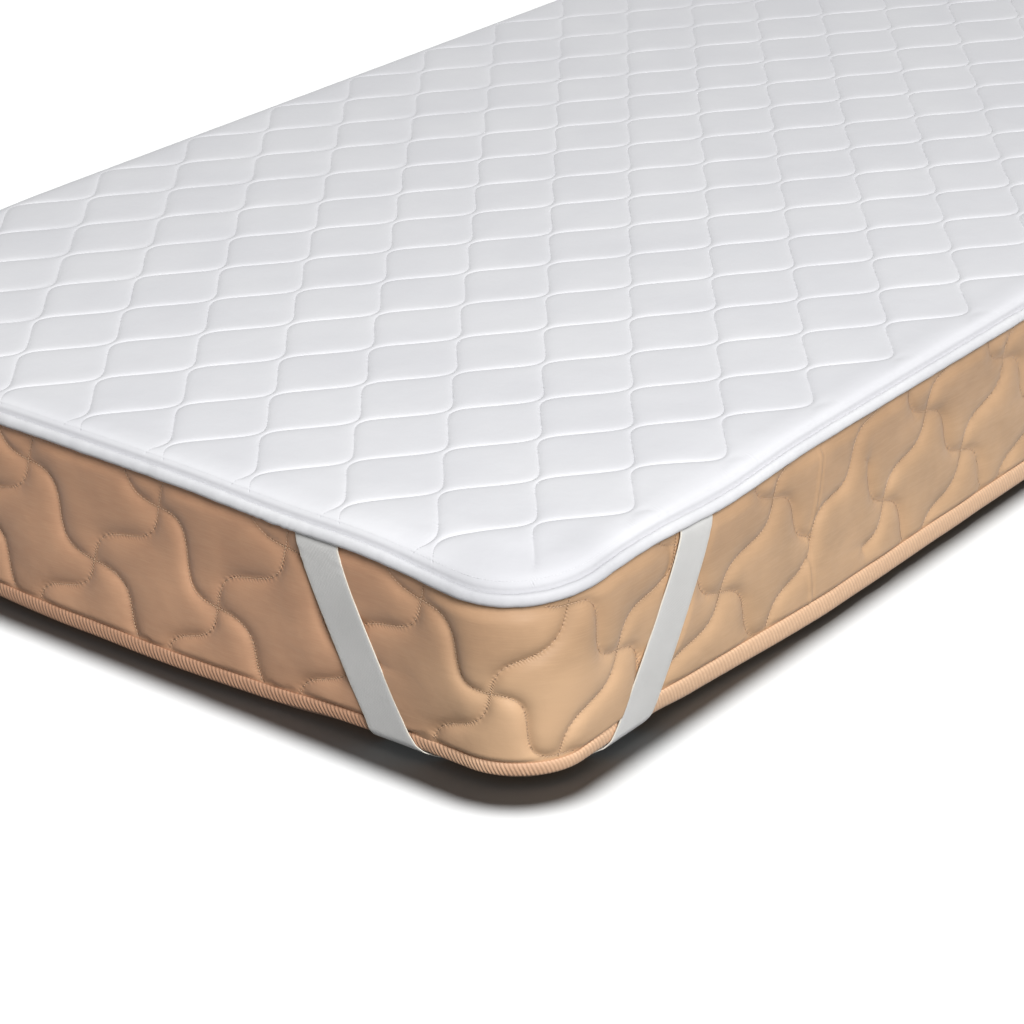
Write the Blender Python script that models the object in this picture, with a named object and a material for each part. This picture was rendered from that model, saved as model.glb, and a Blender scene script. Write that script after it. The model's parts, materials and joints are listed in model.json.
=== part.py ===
"""Quilted mattress topper with an elastic across each corner, fitted on a single mattress.

The topper is a filled panel with sewn ogee quilting, a bound edge that hangs over the mattress's top
rim, and four elastics that run down the sides, under the mattress and up again round each corner.
Metres, +Z up, with the origin on the floor under the middle of the mattress. Heights are above the
floor, and "out" is a distance outside the mattress's nominal side wall, so it is negative inside it.
"""

import math
from collections import namedtuple

import bmesh
import bpy
from mathutils import Vector
from mathutils.geometry import delaunay_2d_cdt

Station = namedtuple("Station", "x y nx ny far")
Row = namedtuple("Row", "out z")

# Driving dimensions
mattress_width = 0.900
mattress_length = 2.000
mattress_height = 0.1837
corner_radius = 0.075
side_bulge = 0.0015
tape_height = 0.012         # the bound edges of the mattress, top and bottom
tape_bulge = 0.0026

topper_thickness = 0.012
quilt_repeat = 0.127        # one ogee, along the mattress
quilt_pitch = 0.0458        # between neighbouring needle lines, across the mattress
quilt_sway = 0.44           # a needle line sways this share of the pitch to each side
quilt_depth = 0.0045
quilt_start = (0.061, 0.077)  # the pattern's first node, in from the near corner's two walls

elastic_width = 0.040
elastic_thickness = 0.0012
elastic_clearance = 0.0010
piece_gap = 0.0004

# Where an elastic runs: its middle, from the corner along the short side and along the long side
elastic_top = (0.2140, 0.2040)
elastic_foot = (0.1525, 0.1360)
elastic_under = (0.1340, 0.1170)
elastic_foot_spread = (1.00, 1.24)  # how much wider it runs there than at its top
elastic_under_spread = (1.36, 1.30)
under_inset = 0.031         # the last two are this far in from the wall

# How the pull of the elastics shapes the soft edges. A place along the edge is measured from the
# corner's middle, positive on the long side and negative on the short side.
corner_droop = 0.0125       # the topper hangs lower at its corners than along its sides
droop_middle = -0.035
droop_reach = 0.090
sewn_tug = (0.0035, 0.0055)  # the edge is pulled down beside each end of an elastic: short side, long side
sewn_place = (-0.225, 0.225)
sewn_reach = 0.075
edge_give = 0.060           # how far in from the edge that reaches
droop_heights = (0.060, 0.150)  # nothing droops below the first height, and all of it does above the second
foot_draw = 0.015           # the foot of each corner is drawn in
foot_middle = 0.015
foot_near = 0.120
foot_far = 0.400
foot_height = 0.150
under_lift = 0.0034         # the underside of each corner is held off the floor
under_reach = (0.028, 0.068)  # in from the elastic's middle line, that fades out between these two
lift_height = 0.050         # and it has faded out at this height

# Heights that the pieces share
crown = mattress_height + topper_thickness + piece_gap
rim_roll = 0.018            # the mattress's top rolls over to its side across this width
rim_drop = 0.0077
roll_outs = (-edge_give, -0.036, -rim_roll, -0.006)  # rows of points that the two rolled faces share
panel_round = 0.024         # the panel's top curves down to its rim across this width
panel_out = 0.0015          # the topper's panel ends this far outside the wall
panel_rim_top = crown - 0.0065
panel_rim_bottom = crown - 0.0168
binding_bottom = crown - 0.0206
binding_plump = 0.0047      # how far the binding stands out from the panel's rim
upper_tape = crown - 0.029
lower_tape = 0.0125
tape_root = 0.0003          # how far out a tape starts, above and below its bulge
tape_flat = 0.35            # the share of half its height that is flat
side_heights = (0.125, 0.095, 0.070, 0.045)  # an elastic's rows between the two tapes
foot_turn = ((-0.006, 0.0008), (-0.014, 0.0))  # the mattress's side turns under through these, out and up
tuck_out = -0.0006          # an elastic starts here, under the panel's rim

half_width = mattress_width / 2
half_length = mattress_length / 2
arc_half = corner_radius * math.pi / 4
under_ends = (Vector((elastic_under[0], under_inset)), Vector((under_inset, elastic_under[1])))
under_run = (under_ends[1] - under_ends[0]).normalized()
under_inward = Vector((under_run.y, -under_run.x))

# The quilting fades out towards the panel's edge between these, in from the wall
quilt_edge = (0.014, 0.034)
needle_edge = 0.031         # no point of the quilting lies nearer to the wall than this
puff_run = 0.5              # the share of a cell's half width over which its cushion rises from the seam
puff_width = 0.35           # a cell narrower than this share of the pitch is lower
puff_points = ((-0.43, -0.24), (0.43, -0.24), (-0.43, 0.24), (0.43, 0.24), (0, -0.66), (0, 0.66))
needle_steps = 6            # along one ogee

# Colours
tan = (0.50, 0.29, 0.16)
cotton_white = (0.84, 0.84, 0.86)
tape_white = (0.86, 0.86, 0.87)
elastic_grey = (0.55, 0.56, 0.56)

# The outline's steps
arc_steps = 6
near_step = 0.050
near_reach = 0.350
far_step = 0.200
across_steps = 3            # over an elastic's width
under_steps = 4             # along its run under the mattress


def smooth(t):
    t = min(1.0, max(0.0, t))
    return t * t * (3 - 2 * t)


def ramp(value, span):
    """0 before the span, 1 after it and smooth between."""
    return smooth((value - span[0]) / (span[1] - span[0]))


def mix(a, b, t):
    return a + (b - a) * t


# The outline in plan

def straight_steps(length):
    """Distances from a corner's arc to the middle of a side, close together near the corner."""
    near = [near_step * i for i in range(round(near_reach / near_step) + 1)]
    rest = length - near_reach
    count = max(1, round(rest / far_step))
    return near + [near_reach + rest * i / count for i in range(1, count + 1)]


def quarter_stations():
    """The outline from the middle of the long side at +X to the middle of the short side at +Y."""
    ax = half_width - corner_radius
    ay = half_length - corner_radius
    long_side = [Station(half_width, ay - d, 1.0, 0.0, arc_half + d) for d in reversed(straight_steps(ay))]
    arc = []
    for i in range(1, arc_steps):
        turn = math.pi / 2 * i / arc_steps
        nx, ny = math.cos(turn), math.sin(turn)
        far = corner_radius * (math.pi / 4 - turn)
        arc.append(Station(ax + corner_radius * nx, ay + corner_radius * ny, nx, ny, far))
    short_side = [Station(ax - d, half_length, 0.0, 1.0, -arc_half - d) for d in straight_steps(ax)]
    return long_side + arc + short_side


def outline_stations():
    """The whole outline, anticlockwise from above."""
    loop = []
    for sx, sy in ((1, 1), (-1, 1), (-1, -1), (1, -1)):
        part = [Station(s.x * sx, s.y * sy, s.nx * sx, s.ny * sy, s.far) for s in quarter_stations()]
        if sx * sy < 0:
            part.reverse()
        loop += part[:-1]
    return loop


def edge_place(x, y):
    """How far in from the outline a plan point lies, and how far along it from the corner's middle."""
    px = abs(x) - (half_width - corner_radius)
    py = abs(y) - (half_length - corner_radius)
    if px > 0 and py > 0:
        far = corner_radius * (math.pi / 4 - math.atan2(py, px))
        return corner_radius - math.hypot(px, py), far
    if px > py:
        return corner_radius - px, arc_half - py
    return corner_radius - py, px - arc_half


# How the soft edges give

def hump(far, middle, reach):
    return math.exp(-(((far - middle) / reach) ** 2))


def droop(far):
    tugs = sum(tug * hump(far, middle, sewn_reach) for tug, middle in zip(sewn_tug, sewn_place))
    return tugs + corner_droop * hump(far, droop_middle, droop_reach)


def draw_in(far, z):
    """The foot of a corner leans in, most at the floor."""
    along = 1 - ramp(abs(far - foot_middle), (foot_near, foot_far))
    down = max(0.0, 1 - z / foot_height)
    return foot_draw * along * down ** 1.5


def lift(x, y):
    """The underside from a corner to its elastic is held up, so that the elastic clears the floor."""
    from_corner = Vector((half_width - abs(x), half_length - abs(y)))
    inward = (from_corner - under_ends[0]).dot(under_inward)
    return under_lift * (1 - ramp(inward, under_reach))


def settle(x, y, z):
    """The height of a point once the top edge droops and the underside lifts."""
    inside, far = edge_place(x, y)
    edge = max(0.0, 1 - max(0.0, inside) / edge_give) ** 2
    lower = max(0.0, 1 - z / lift_height)
    return z - droop(far) * edge * ramp(z, droop_heights) + lift(x, y) * lower


def place(station, out, z):
    """A point of a piece that follows the outline."""
    out -= draw_in(station.far, z)
    x = station.x + station.nx * out
    y = station.y + station.ny * out
    return Vector((x, y, settle(x, y, z)))


# Meshes

class Skin:
    """Points and faces of one closed piece."""

    def __init__(self):
        self.points = []
        self.faces = []

    def add_row(self, points):
        first = len(self.points)
        self.points += points
        return list(range(first, first + len(points)))

    def add_band(self, upper, lower, closed=True):
        for i in range(len(upper) if closed else len(upper) - 1):
            j = (i + 1) % len(upper)
            self.faces.append((upper[i], upper[j], lower[j], lower[i]))

    def add_bands(self, rows, closed=True):
        for upper, lower in zip(rows, rows[1:]):
            self.add_band(upper, lower, closed)

    def add_fill(self, loop, height, inner_points=(), inner_lines=()):
        """Closes a plan loop with triangles, which take in the inner points and lines."""
        edge = [self.points[i].to_2d() for i in loop]
        count = len(edge)
        lines = [(i, (i + 1) % count) for i in range(count)]
        lines += [(count + a, count + b) for a, b in inner_lines]
        plan, _, faces, *_ = delaunay_2d_cdt(edge + list(inner_points), lines, [], 1, 1e-6)
        first = len(self.points)
        self.points += [Vector((p.x, p.y, height(p.x, p.y))) for p in plan]
        self.faces += [tuple(first + i for i in face) for face in faces]

    def make(self, name, material):
        mesh = bpy.data.meshes.new(name)
        mesh.from_pydata(self.points, [], self.faces)
        shape = bmesh.new()
        shape.from_mesh(mesh)
        bmesh.ops.remove_doubles(shape, verts=shape.verts, dist=2e-5)
        bmesh.ops.recalc_face_normals(shape, faces=shape.faces)
        shape.to_mesh(mesh)
        shape.free()
        mesh.shade_smooth()
        mesh.set_sharp_from_angle(angle=math.radians(50))
        mesh.materials.append(material)
        bpy.context.scene.collection.objects.link(bpy.data.objects.new(name, mesh))


def cloth(name, colour, roughness):
    material = bpy.data.materials.new(name)
    material.use_nodes = True
    shader = material.node_tree.nodes["Principled BSDF"]
    shader.inputs["Base Color"].default_value = (*colour, 1)
    shader.inputs["Roughness"].default_value = roughness
    shader.inputs["Metallic"].default_value = 0.0
    return material


# The mattress

def rolled(out):
    """The height of the mattress's top where it rolls over to the side wall."""
    run = min(1.0, max(0.0, 1 + out / rim_roll))
    return mattress_height - rim_drop * (1 - math.sqrt(1 - run * run))


def tape_rows(middle):
    half = tape_height / 2
    flat = half * tape_flat
    return [Row(tape_root, middle + half), Row(tape_bulge, middle + flat),
            Row(tape_bulge, middle - flat), Row(tape_root, middle - half)]


def foot_rows():
    """From the bulge of the lower tape to the underside."""
    return tape_rows(lower_tape)[1:] + [Row(*turn) for turn in foot_turn]


def wall_rows():
    """The side wall and the turn at its foot, from the top down."""
    side = [Row(side_bulge, z) for z in (side_heights[0], side_heights[2])]
    return tape_rows(upper_tape) + side + tape_rows(lower_tape)[:1] + foot_rows()


def lifted_points():
    """Plan points where the lift of the underside begins and ends, at all four corners."""
    spots = []
    for inward in under_reach:
        for t in (0.1, 0.5, 0.9):
            spot = under_ends[0].lerp(under_ends[1], t) + under_inward * inward
            x, y = half_width - spot.x, half_length - spot.y
            spots += [Vector((x, y)), Vector((-x, y)), Vector((-x, -y)), Vector((x, -y))]
    return spots


def add_mattress():
    skin = Skin()
    stations = outline_stations()
    top = [Row(out, rolled(out)) for out in roll_outs + (0.0,)]
    rows = [skin.add_row([place(s, r.out, r.z) for s in stations]) for r in top + wall_rows()]
    skin.add_bands(rows)
    skin.add_fill(rows[0], lambda x, y: settle(x, y, mattress_height))
    skin.add_fill(rows[-1], lambda x, y: settle(x, y, 0.0), lifted_points())
    skin.make("mattress", cloth("ticking", tan, 0.45))


# The topper's panel

def strip_half(strip, row):
    """Half the width of a strip between two needle lines, a chain of ogees. A row is half a repeat."""
    return quilt_pitch * (0.5 - (-1) ** strip * quilt_sway * math.cos(math.pi * row))


def quilt_cell(x, y):
    """How near a plan point is to its strip's seam, from 0 to 1, and the strip's half width there."""
    column = (x - half_width + quilt_start[0]) / quilt_pitch
    row = (y + half_length - quilt_start[1]) / (quilt_repeat / 2)
    strip = math.floor(column)
    if (column - strip) * quilt_pitch > strip_half(strip, row):
        strip += 1
    half = strip_half(strip, row)
    return min(1.0, abs(column - strip) * quilt_pitch / half), half


def panel_top(x, y):
    """The quilted upper face, flattened towards its edge."""
    inside = edge_place(x, y)[0]
    seam, half = quilt_cell(x, y)
    rise = quilt_depth * smooth((1 - seam) / puff_run) * min(1.0, half / (puff_width * quilt_pitch))
    rise = mix(quilt_depth / 2, rise, ramp(inside, quilt_edge))
    edge = max(0.0, panel_round - inside) / (panel_round + panel_out)
    fall = (crown - quilt_depth / 2 - panel_rim_top) * edge * edge
    return settle(x, y, crown - quilt_depth + rise - fall)


def needle_lines():
    """Points on the sewn lines and on each ogee's crown, with the lines that join them."""
    points, lines = [], []
    x0 = half_width - quilt_start[0]
    y0 = quilt_start[1] - half_length
    strips = range(-round(mattress_width / quilt_pitch) - 2, 3)
    rows = 2 * round(mattress_length / quilt_repeat + 1)

    def add(x, row):
        y = y0 + quilt_repeat / 2 * row
        if edge_place(x, y)[0] < needle_edge:
            return None
        points.append(Vector((x, y)))
        return len(points) - 1

    for strip in strips:
        last = None
        for k in range(-needle_steps, needle_steps * rows // 2):
            row = 2 * k / needle_steps
            here = add(x0 + quilt_pitch * strip + strip_half(strip, row), row)
            if last is not None and here is not None:
                lines.append((last, here))
            last = here
        for row in range(-1 - strip % 2, rows, 2):
            for aside, along in puff_points:
                add(x0 + quilt_pitch * (strip + aside), row + along)
    return points, lines


def add_panel():
    skin = Skin()
    stations = outline_stations()
    upper, rim, under = [], [], []
    for share in (1, 1 / 2, 1 / 6):
        out = -panel_round * share
        plan = [(s.x + s.nx * out, s.y + s.ny * out) for s in stations]
        upper.append(skin.add_row([Vector((x, y, panel_top(x, y))) for x, y in plan]))
    for z in (panel_rim_top, panel_rim_bottom):
        rim.append(skin.add_row([place(s, panel_out, z) for s in stations]))
    for out in roll_outs:
        under.append(skin.add_row([place(s, out, rolled(out) + piece_gap) for s in stations]))
    skin.add_bands(upper + rim)
    skin.add_bands(under + rim[-1:])
    skin.add_fill(upper[0], panel_top, *needle_lines())
    skin.add_fill(under[0], lambda x, y: settle(x, y, mattress_height + piece_gap))
    skin.make("topper_panel", cloth("quilted_cotton", cotton_white, 0.85))


# The topper's bound edge

def binding_rows():
    """The binding's section: flat against the panel's rim, and plump outside."""
    inner = panel_out + piece_gap
    return [
        Row(inner, panel_rim_top - 0.0008),
        Row(inner + binding_plump * 0.28, panel_rim_top - 0.0002),
        Row(inner + binding_plump * 0.79, panel_rim_top - 0.0024),
        Row(inner + binding_plump, mix(panel_rim_top, binding_bottom, 0.55)),
        Row(inner + binding_plump * 0.83, binding_bottom + 0.0024),
        Row(inner + binding_plump * 0.40, binding_bottom),
        Row(inner, binding_bottom + 0.0010),
    ]


def add_binding():
    skin = Skin()
    stations = outline_stations()
    rows = [skin.add_row([place(s, r.out, r.z) for s in stations]) for r in binding_rows()]
    skin.add_bands(rows + rows[:1])
    skin.make("topper_binding", cloth("white_tape", tape_white, 0.6))


# The elastics

def offset_rows(rows, distance):
    """A section moved outwards, square to its own run."""
    moved = []
    for i, row in enumerate(rows):
        before, after = rows[max(0, i - 1)], rows[min(len(rows) - 1, i + 1)]
        run = Vector((after.out - before.out, after.z - before.z)).normalized()
        moved.append(Row(row.out - run.y * distance, row.z + run.x * distance))
    return moved


def elastic_rows():
    """What an elastic lies over, drawn straight between the mattress's two bound edges."""
    tucked = [Row(tuck_out, panel_rim_bottom - piece_gap), Row(tuck_out, binding_bottom - piece_gap)]
    upper = [Row(tape_bulge, upper_tape + tape_height / 5), Row(tape_bulge, upper_tape - tape_height / 2)]
    side = [Row(tape_bulge, z) for z in side_heights]
    return tucked + upper + side + foot_rows()


def elastic_leg(side):
    """One leg of an elastic, top to underside: each row's distance from the corner and half width."""
    rows = elastic_rows()
    foot = len(rows) - len(foot_rows())
    drop = rows[0].z - rows[foot].z
    slope = (elastic_top[side] - elastic_foot[side]) / drop
    half = elastic_width / 2 * math.hypot(1, slope)
    leg = []
    for i, row in enumerate(rows):
        turn = max(0, i - foot) / (len(foot_rows()) - 1)
        above = max(0.0, row.z - rows[foot].z)
        middle = mix(elastic_foot[side], elastic_under[side], turn) + slope * above
        spread = mix(elastic_foot_spread[side], 1, above / drop)
        leg.append((middle, half * mix(spread, elastic_under_spread[side], turn)))
    return leg


def wall_station(side, from_corner):
    """A station on the near corner's short side (0) or long side (1)."""
    far = arc_half + from_corner - corner_radius
    if side == 0:
        return Station(half_width - from_corner, -half_length, 0.0, -1.0, -far)
    return Station(half_width, from_corner - half_length, 1.0, 0.0, far)


def elastic_face(distance):
    """One face of the near corner's elastic, as rows of points from one end to the other."""
    rows = offset_rows(elastic_rows(), distance)
    legs = []
    for side in (0, 1):
        leg = []
        for row, (middle, half) in zip(rows, elastic_leg(side)):
            spots = [mix(middle - half, middle + half, i / across_steps) for i in range(across_steps + 1)]
            leg.append([place(wall_station(side, spot), row.out, row.z) for spot in spots])
        legs.append(leg)
    under = []
    for k in range(1, under_steps):
        pairs = zip(legs[0][-1], legs[1][-1])
        plan = [a.lerp(b, k / under_steps) for a, b in pairs]
        under.append([Vector((p.x, p.y, settle(p.x, p.y, -distance))) for p in plan])
    return legs[0] + under + legs[1][::-1]


def add_elastic(name, sx, sy, material):
    skin = Skin()
    faces = []
    for distance in (elastic_clearance, elastic_clearance + elastic_thickness):
        rows = elastic_face(distance)
        faces.append([skin.add_row([Vector((p.x * sx, p.y * sy, p.z)) for p in row]) for row in rows])
    inner, outer = faces
    skin.add_bands(inner, closed=False)
    skin.add_bands([row[::-1] for row in outer], closed=False)
    for side in (0, -1):
        skin.add_band([row[side] for row in inner], [row[side] for row in outer], closed=False)
    for end in (0, -1):
        skin.add_band(inner[end], outer[end], closed=False)
    skin.make(name, material)


def main():
    for old in list(bpy.data.objects):
        bpy.data.objects.remove(old)
    add_mattress()
    add_panel()
    add_binding()
    corners = {"front_right": (1, 1), "front_left": (-1, 1), "back_right": (1, -1), "back_left": (-1, -1)}
    for corner, (sx, sy) in corners.items():
        add_elastic("elastic_" + corner, sx, sy, cloth("woven_elastic_" + corner, elastic_grey, 0.7))


main()
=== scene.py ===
# Quilted mattress topper with an elastic across each corner, fitted on a plain single mattress.
# Metres, +Z up. "run" goes anticlockwise round the outline from the middle of the near corner,
# so it grows along the right-hand long side. "out" is how far a point lies outside the side wall.
import json
import math

import bmesh
import bpy
import numpy as np
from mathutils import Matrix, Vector
from mathutils.geometry import delaunay_2d_cdt

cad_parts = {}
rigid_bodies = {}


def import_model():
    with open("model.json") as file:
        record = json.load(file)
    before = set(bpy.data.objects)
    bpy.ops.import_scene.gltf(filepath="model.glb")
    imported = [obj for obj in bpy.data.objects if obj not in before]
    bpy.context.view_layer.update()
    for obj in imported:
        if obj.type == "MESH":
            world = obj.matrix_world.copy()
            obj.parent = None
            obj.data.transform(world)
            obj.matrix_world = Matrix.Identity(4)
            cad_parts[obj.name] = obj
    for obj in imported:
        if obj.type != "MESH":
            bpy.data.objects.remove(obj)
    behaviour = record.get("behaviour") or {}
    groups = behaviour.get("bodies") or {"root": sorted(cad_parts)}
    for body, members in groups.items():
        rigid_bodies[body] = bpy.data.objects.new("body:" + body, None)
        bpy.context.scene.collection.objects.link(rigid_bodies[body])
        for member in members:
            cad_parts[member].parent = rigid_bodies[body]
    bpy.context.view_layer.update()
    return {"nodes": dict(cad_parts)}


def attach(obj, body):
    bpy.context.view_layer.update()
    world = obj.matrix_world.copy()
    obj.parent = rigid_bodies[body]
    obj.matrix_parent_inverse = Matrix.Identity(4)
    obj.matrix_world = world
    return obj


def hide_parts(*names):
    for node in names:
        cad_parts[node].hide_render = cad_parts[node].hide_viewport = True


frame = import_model()
print("frame loaded:", sorted(frame["nodes"]))

bed = {
    "halfWidth": 0.450,
    "halfLength": 1.000,
    "height": 0.1837,
    "cornerRadius": 0.075,
    "rimRoll": 0.018,           # the top rolls over to the side across this width
    "rimDrop": 0.0077,
    "crown": 0.1961,            # the topper's highest level
}
bed["arcHalf"] = bed["cornerRadius"] * math.pi / 4
bed["longEdge"] = 2 * (bed["halfLength"] - bed["cornerRadius"] + bed["arcHalf"])
bed["shortEdge"] = 2 * (bed["halfWidth"] - bed["cornerRadius"] + bed["arcHalf"])
bed["around"] = 2 * (bed["longEdge"] + bed["shortEdge"])

# How the elastics pull the soft edges: far is along the edge from a corner, minus on the short side
pull = {
    "cornerDroop": 0.0125, "droopMiddle": -0.035, "droopReach": 0.090,
    "sewnTugs": (0.0035, 0.0055), "sewnPlaces": (-0.225, 0.225), "sewnReach": 0.075,
    "edgeGive": 0.060, "droopHeights": (0.060, 0.150),
    "footDraw": 0.015, "footMiddle": 0.015, "footNear": 0.120, "footFar": 0.400, "footHeight": 0.150,
    "underLift": 0.0034, "underReach": (0.028, 0.068), "liftHeight": 0.050,
    "underEnds": ((0.1340, 0.031), (0.031, 0.1170)),
}


# Camera and light

camera = {
    "place": (1.674, -2.6244, 1.2234),
    "looks": (-0.5500, 0.7160, -0.4300),
    "lens": 110.095,
    "shiftUp": -0.001,
}
light = {
    "keyFrom": (0.63, -0.41, 0.66),     # towards the softbox, from the near corner
    "keyDistance": 8.0,
    "keySize": 3.6,
    "keyPower": 880.0,
    "fillFrom": (0.70, -0.72, 0.06),    # a low softbox in front of the corner
    "fillDistance": 1.4,
    "fillSize": 0.8,
    "fillPower": 3.0,
    "fillTarget": (0.43, -0.98, 0.08),
    "backFrom": (-0.70, 0.70, 0.14),    # low and faint, for the two far sides
    "backDistance": 3.6,
    "backSize": 1.6,
    "backPower": 46.0,
    "backTarget": (-0.30, 0.60, 0.10),
    "floorFrom": (-0.028, 0.083, 1.0),  # lights the floor alone, and throws the soft shadow on it
    "floorDistance": 12.0,
    "floorSize": 1.85,
    "floorPower": 5200.0,
    "target": (0.25, -0.75, 0.15),
    "world": 0.14,
}


def aim(thing, place, direction):
    thing.location = place
    thing.rotation_euler = Vector(direction).to_track_quat("-Z", "Y").to_euler()


def addCamera():
    data = bpy.data.cameras.new("camera")
    data.sensor_width = 36.0
    data.lens = camera["lens"]
    data.shift_y = camera["shiftUp"]
    data.clip_end = 50
    thing = bpy.data.objects.new("camera", data)
    bpy.context.scene.collection.objects.link(thing)
    aim(thing, camera["place"], camera["looks"])
    bpy.context.scene.camera = thing


def addSoftbox(name, receivers):
    data = bpy.data.lights.new(name + "Softbox", "AREA")
    data.shape = "DISK"
    data.size = light[name + "Size"]
    data.energy = light[name + "Power"]
    thing = bpy.data.objects.new(name + "Softbox", data)
    bpy.context.scene.collection.objects.link(thing)
    direction = Vector(light[name + "From"]).normalized()
    target = Vector(light.get(name + "Target", light["target"]))
    aim(thing, target + direction * light[name + "Distance"], -direction)
    thing.light_linking.receiver_collection = receivers


addCamera()
print("camera set")


# The outline, and how the soft edges give

def ramp(value, low, high):
    t = np.clip((value - low) / (high - low), 0, 1)
    return t * t * (3 - 2 * t)


def hump(value, middle, reach):
    return np.exp(-(((value - middle) / reach) ** 2))


def edgePlace(x, y):
    # how far in from the outline a plan point lies, and how far along it from its corner's middle
    r, arcHalf = bed["cornerRadius"], bed["arcHalf"]
    px = np.abs(x) - (bed["halfWidth"] - r)
    py = np.abs(y) - (bed["halfLength"] - r)
    inArc = (px > 0) & (py > 0)
    inside = np.where(inArc, r - np.hypot(px, py), r - np.maximum(px, py))
    turned = r * (math.pi / 4 - np.arctan2(py, px))
    far = np.where(inArc, turned, np.where(px > py, arcHalf - py, px - arcHalf))
    return inside, far


def wallPlan(run):
    # plan point, outward normal and distance from the nearest corner's middle
    run = np.mod(np.asarray(run, float), bed["around"])
    sides = ((0.0, bed["longEdge"], (1, 0), (0, 1), bed["halfWidth"], bed["halfLength"], 1),
             (bed["longEdge"], bed["shortEdge"], (0, 1), (-1, 0), bed["halfLength"], bed["halfWidth"], -1),
             (bed["longEdge"] + bed["shortEdge"], bed["longEdge"], (-1, 0), (0, -1), bed["halfWidth"],
              bed["halfLength"], 1),
             (2 * bed["longEdge"] + bed["shortEdge"], bed["shortEdge"], (0, -1), (1, 0), bed["halfLength"],
              bed["halfWidth"], -1))
    x, y, nx, ny, far = (np.zeros_like(run) for _ in range(5))
    r = bed["cornerRadius"]
    for start, length, normal, along, wall, half, sign in sides:
        here = (run >= start) & (run <= start + length)
        u = run[here] - start - length / 2
        turn = np.maximum(0, np.abs(u) - (half - r)) / r
        a = np.sign(u) * (np.minimum(np.abs(u), half - r) + r * np.sin(turn))
        o = wall - r + r * np.cos(turn)
        na, no = np.sign(u) * np.sin(turn), np.cos(turn)
        x[here] = a * along[0] + o * normal[0]
        y[here] = a * along[1] + o * normal[1]
        nx[here] = na * along[0] + no * normal[0]
        ny[here] = na * along[1] + no * normal[1]
        far[here] = sign * (length / 2 - np.abs(u))
    return x, y, nx, ny, far


def droop(far):
    tugs = sum(tug * hump(far, middle, pull["sewnReach"])
               for tug, middle in zip(pull["sewnTugs"], pull["sewnPlaces"]))
    return tugs + pull["cornerDroop"] * hump(far, pull["droopMiddle"], pull["droopReach"])


def drawIn(far, z):
    along = 1 - ramp(np.abs(far - pull["footMiddle"]), pull["footNear"], pull["footFar"])
    return pull["footDraw"] * along * np.maximum(0, 1 - z / pull["footHeight"]) ** 1.5


def liftUnder(x, y):
    (ax, ay), (bx, by) = pull["underEnds"]
    length = math.hypot(bx - ax, by - ay)
    inX, inY = (by - ay) / length, -(bx - ax) / length
    inward = (bed["halfWidth"] - np.abs(x) - ax) * inX + (bed["halfLength"] - np.abs(y) - ay) * inY
    return pull["underLift"] * (1 - ramp(inward, *pull["underReach"]))


def settle(x, y, z):
    inside, far = edgePlace(x, y)
    edge = np.maximum(0, 1 - np.maximum(0, inside) / pull["edgeGive"]) ** 2
    lower = np.maximum(0, 1 - z / pull["liftHeight"])
    return z - droop(far) * edge * ramp(z, *pull["droopHeights"]) + liftUnder(x, y) * lower


def settled(x, y, z):
    return np.stack([x, y, settle(x, y, z + 0 * x)], -1)


def place(run, out, z):
    x, y, nx, ny, far = wallPlan(run)
    out = out - drawIn(far, z)
    return settled(x + nx * out, y + ny * out, z)


def nearSigned(run):
    # the same run, from minus half way round to plus half way round
    return np.mod(run + bed["around"] / 2, bed["around"]) - bed["around"] / 2


def waver(value, seed, wave):
    # smooth and uneven, about -1 to 1, without an end where the outline closes
    turns = 2 * math.pi * value / bed["around"]
    base = bed["around"] / wave
    total = 0
    for i, share in enumerate((1.0, 0.61, 1.53, 0.37)):
        count = max(1, round(base * share))
        total = total + math.cos(seed * 1.7 + i) * 0.4 * np.sin(turns * count + seed * (i + 1) * 2.3)
    return total + 0.35 * np.sin(turns * max(1, round(base * 0.8)) + seed)


def shortSide(run):
    # 0 along the long sides, rising to 1 well along the short ones
    return ramp(-wallPlan(run)[4], -0.03, 0.18)


# Painted shade on the white cloth: how much it is greyed in places
paintedShade = {
    "cornerFar": (0.045, 0.160),    # round the near corner
    "cornerIn": (0.006, 0.050),
    "edge": 0.08,                   # along the panel's edge, and more of it towards the right-hand side
    "edgeRight": 0.24,
    "rightFrom": (0.30, 0.45),
    "edgeIn": (0.0, 0.045),
    "ditch": 0.45,                  # in the groove beside the binding
    "ditchIn": (0.0010, 0.0020),
}


def cornerShade(x, y):
    # painted shade: 1 at the near corner's edge, and 0 a hand's breadth away
    inside, _ = edgePlace(x, y)
    far = np.hypot(x - bed["halfWidth"], y + bed["halfLength"])
    return (1 - ramp(far, *paintedShade["cornerFar"])) * (1 - ramp(inside, *paintedShade["cornerIn"]))


def panelShade(x, y):
    # painted shade along the panel's edge, more of it towards the right-hand side, and in the groove beside the
    # binding
    inside, _ = edgePlace(x, y)
    edge = paintedShade["edge"] + paintedShade["edgeRight"] * ramp(x, *paintedShade["rightFrom"])
    shade = np.maximum(cornerShade(x, y), edge * (1 - ramp(inside, *paintedShade["edgeIn"])))
    return shade, paintedShade["ditch"] * (1 - ramp(inside, *paintedShade["ditchIn"]))


def spacedRuns(near, nearStep, farStep):
    fine = np.arange(-near, near, nearStep)
    count = round((bed["around"] - 2 * near) / farStep)
    return np.concatenate([fine, np.linspace(near, bed["around"] - near, count + 1)[:-1]])


# Meshes

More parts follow.
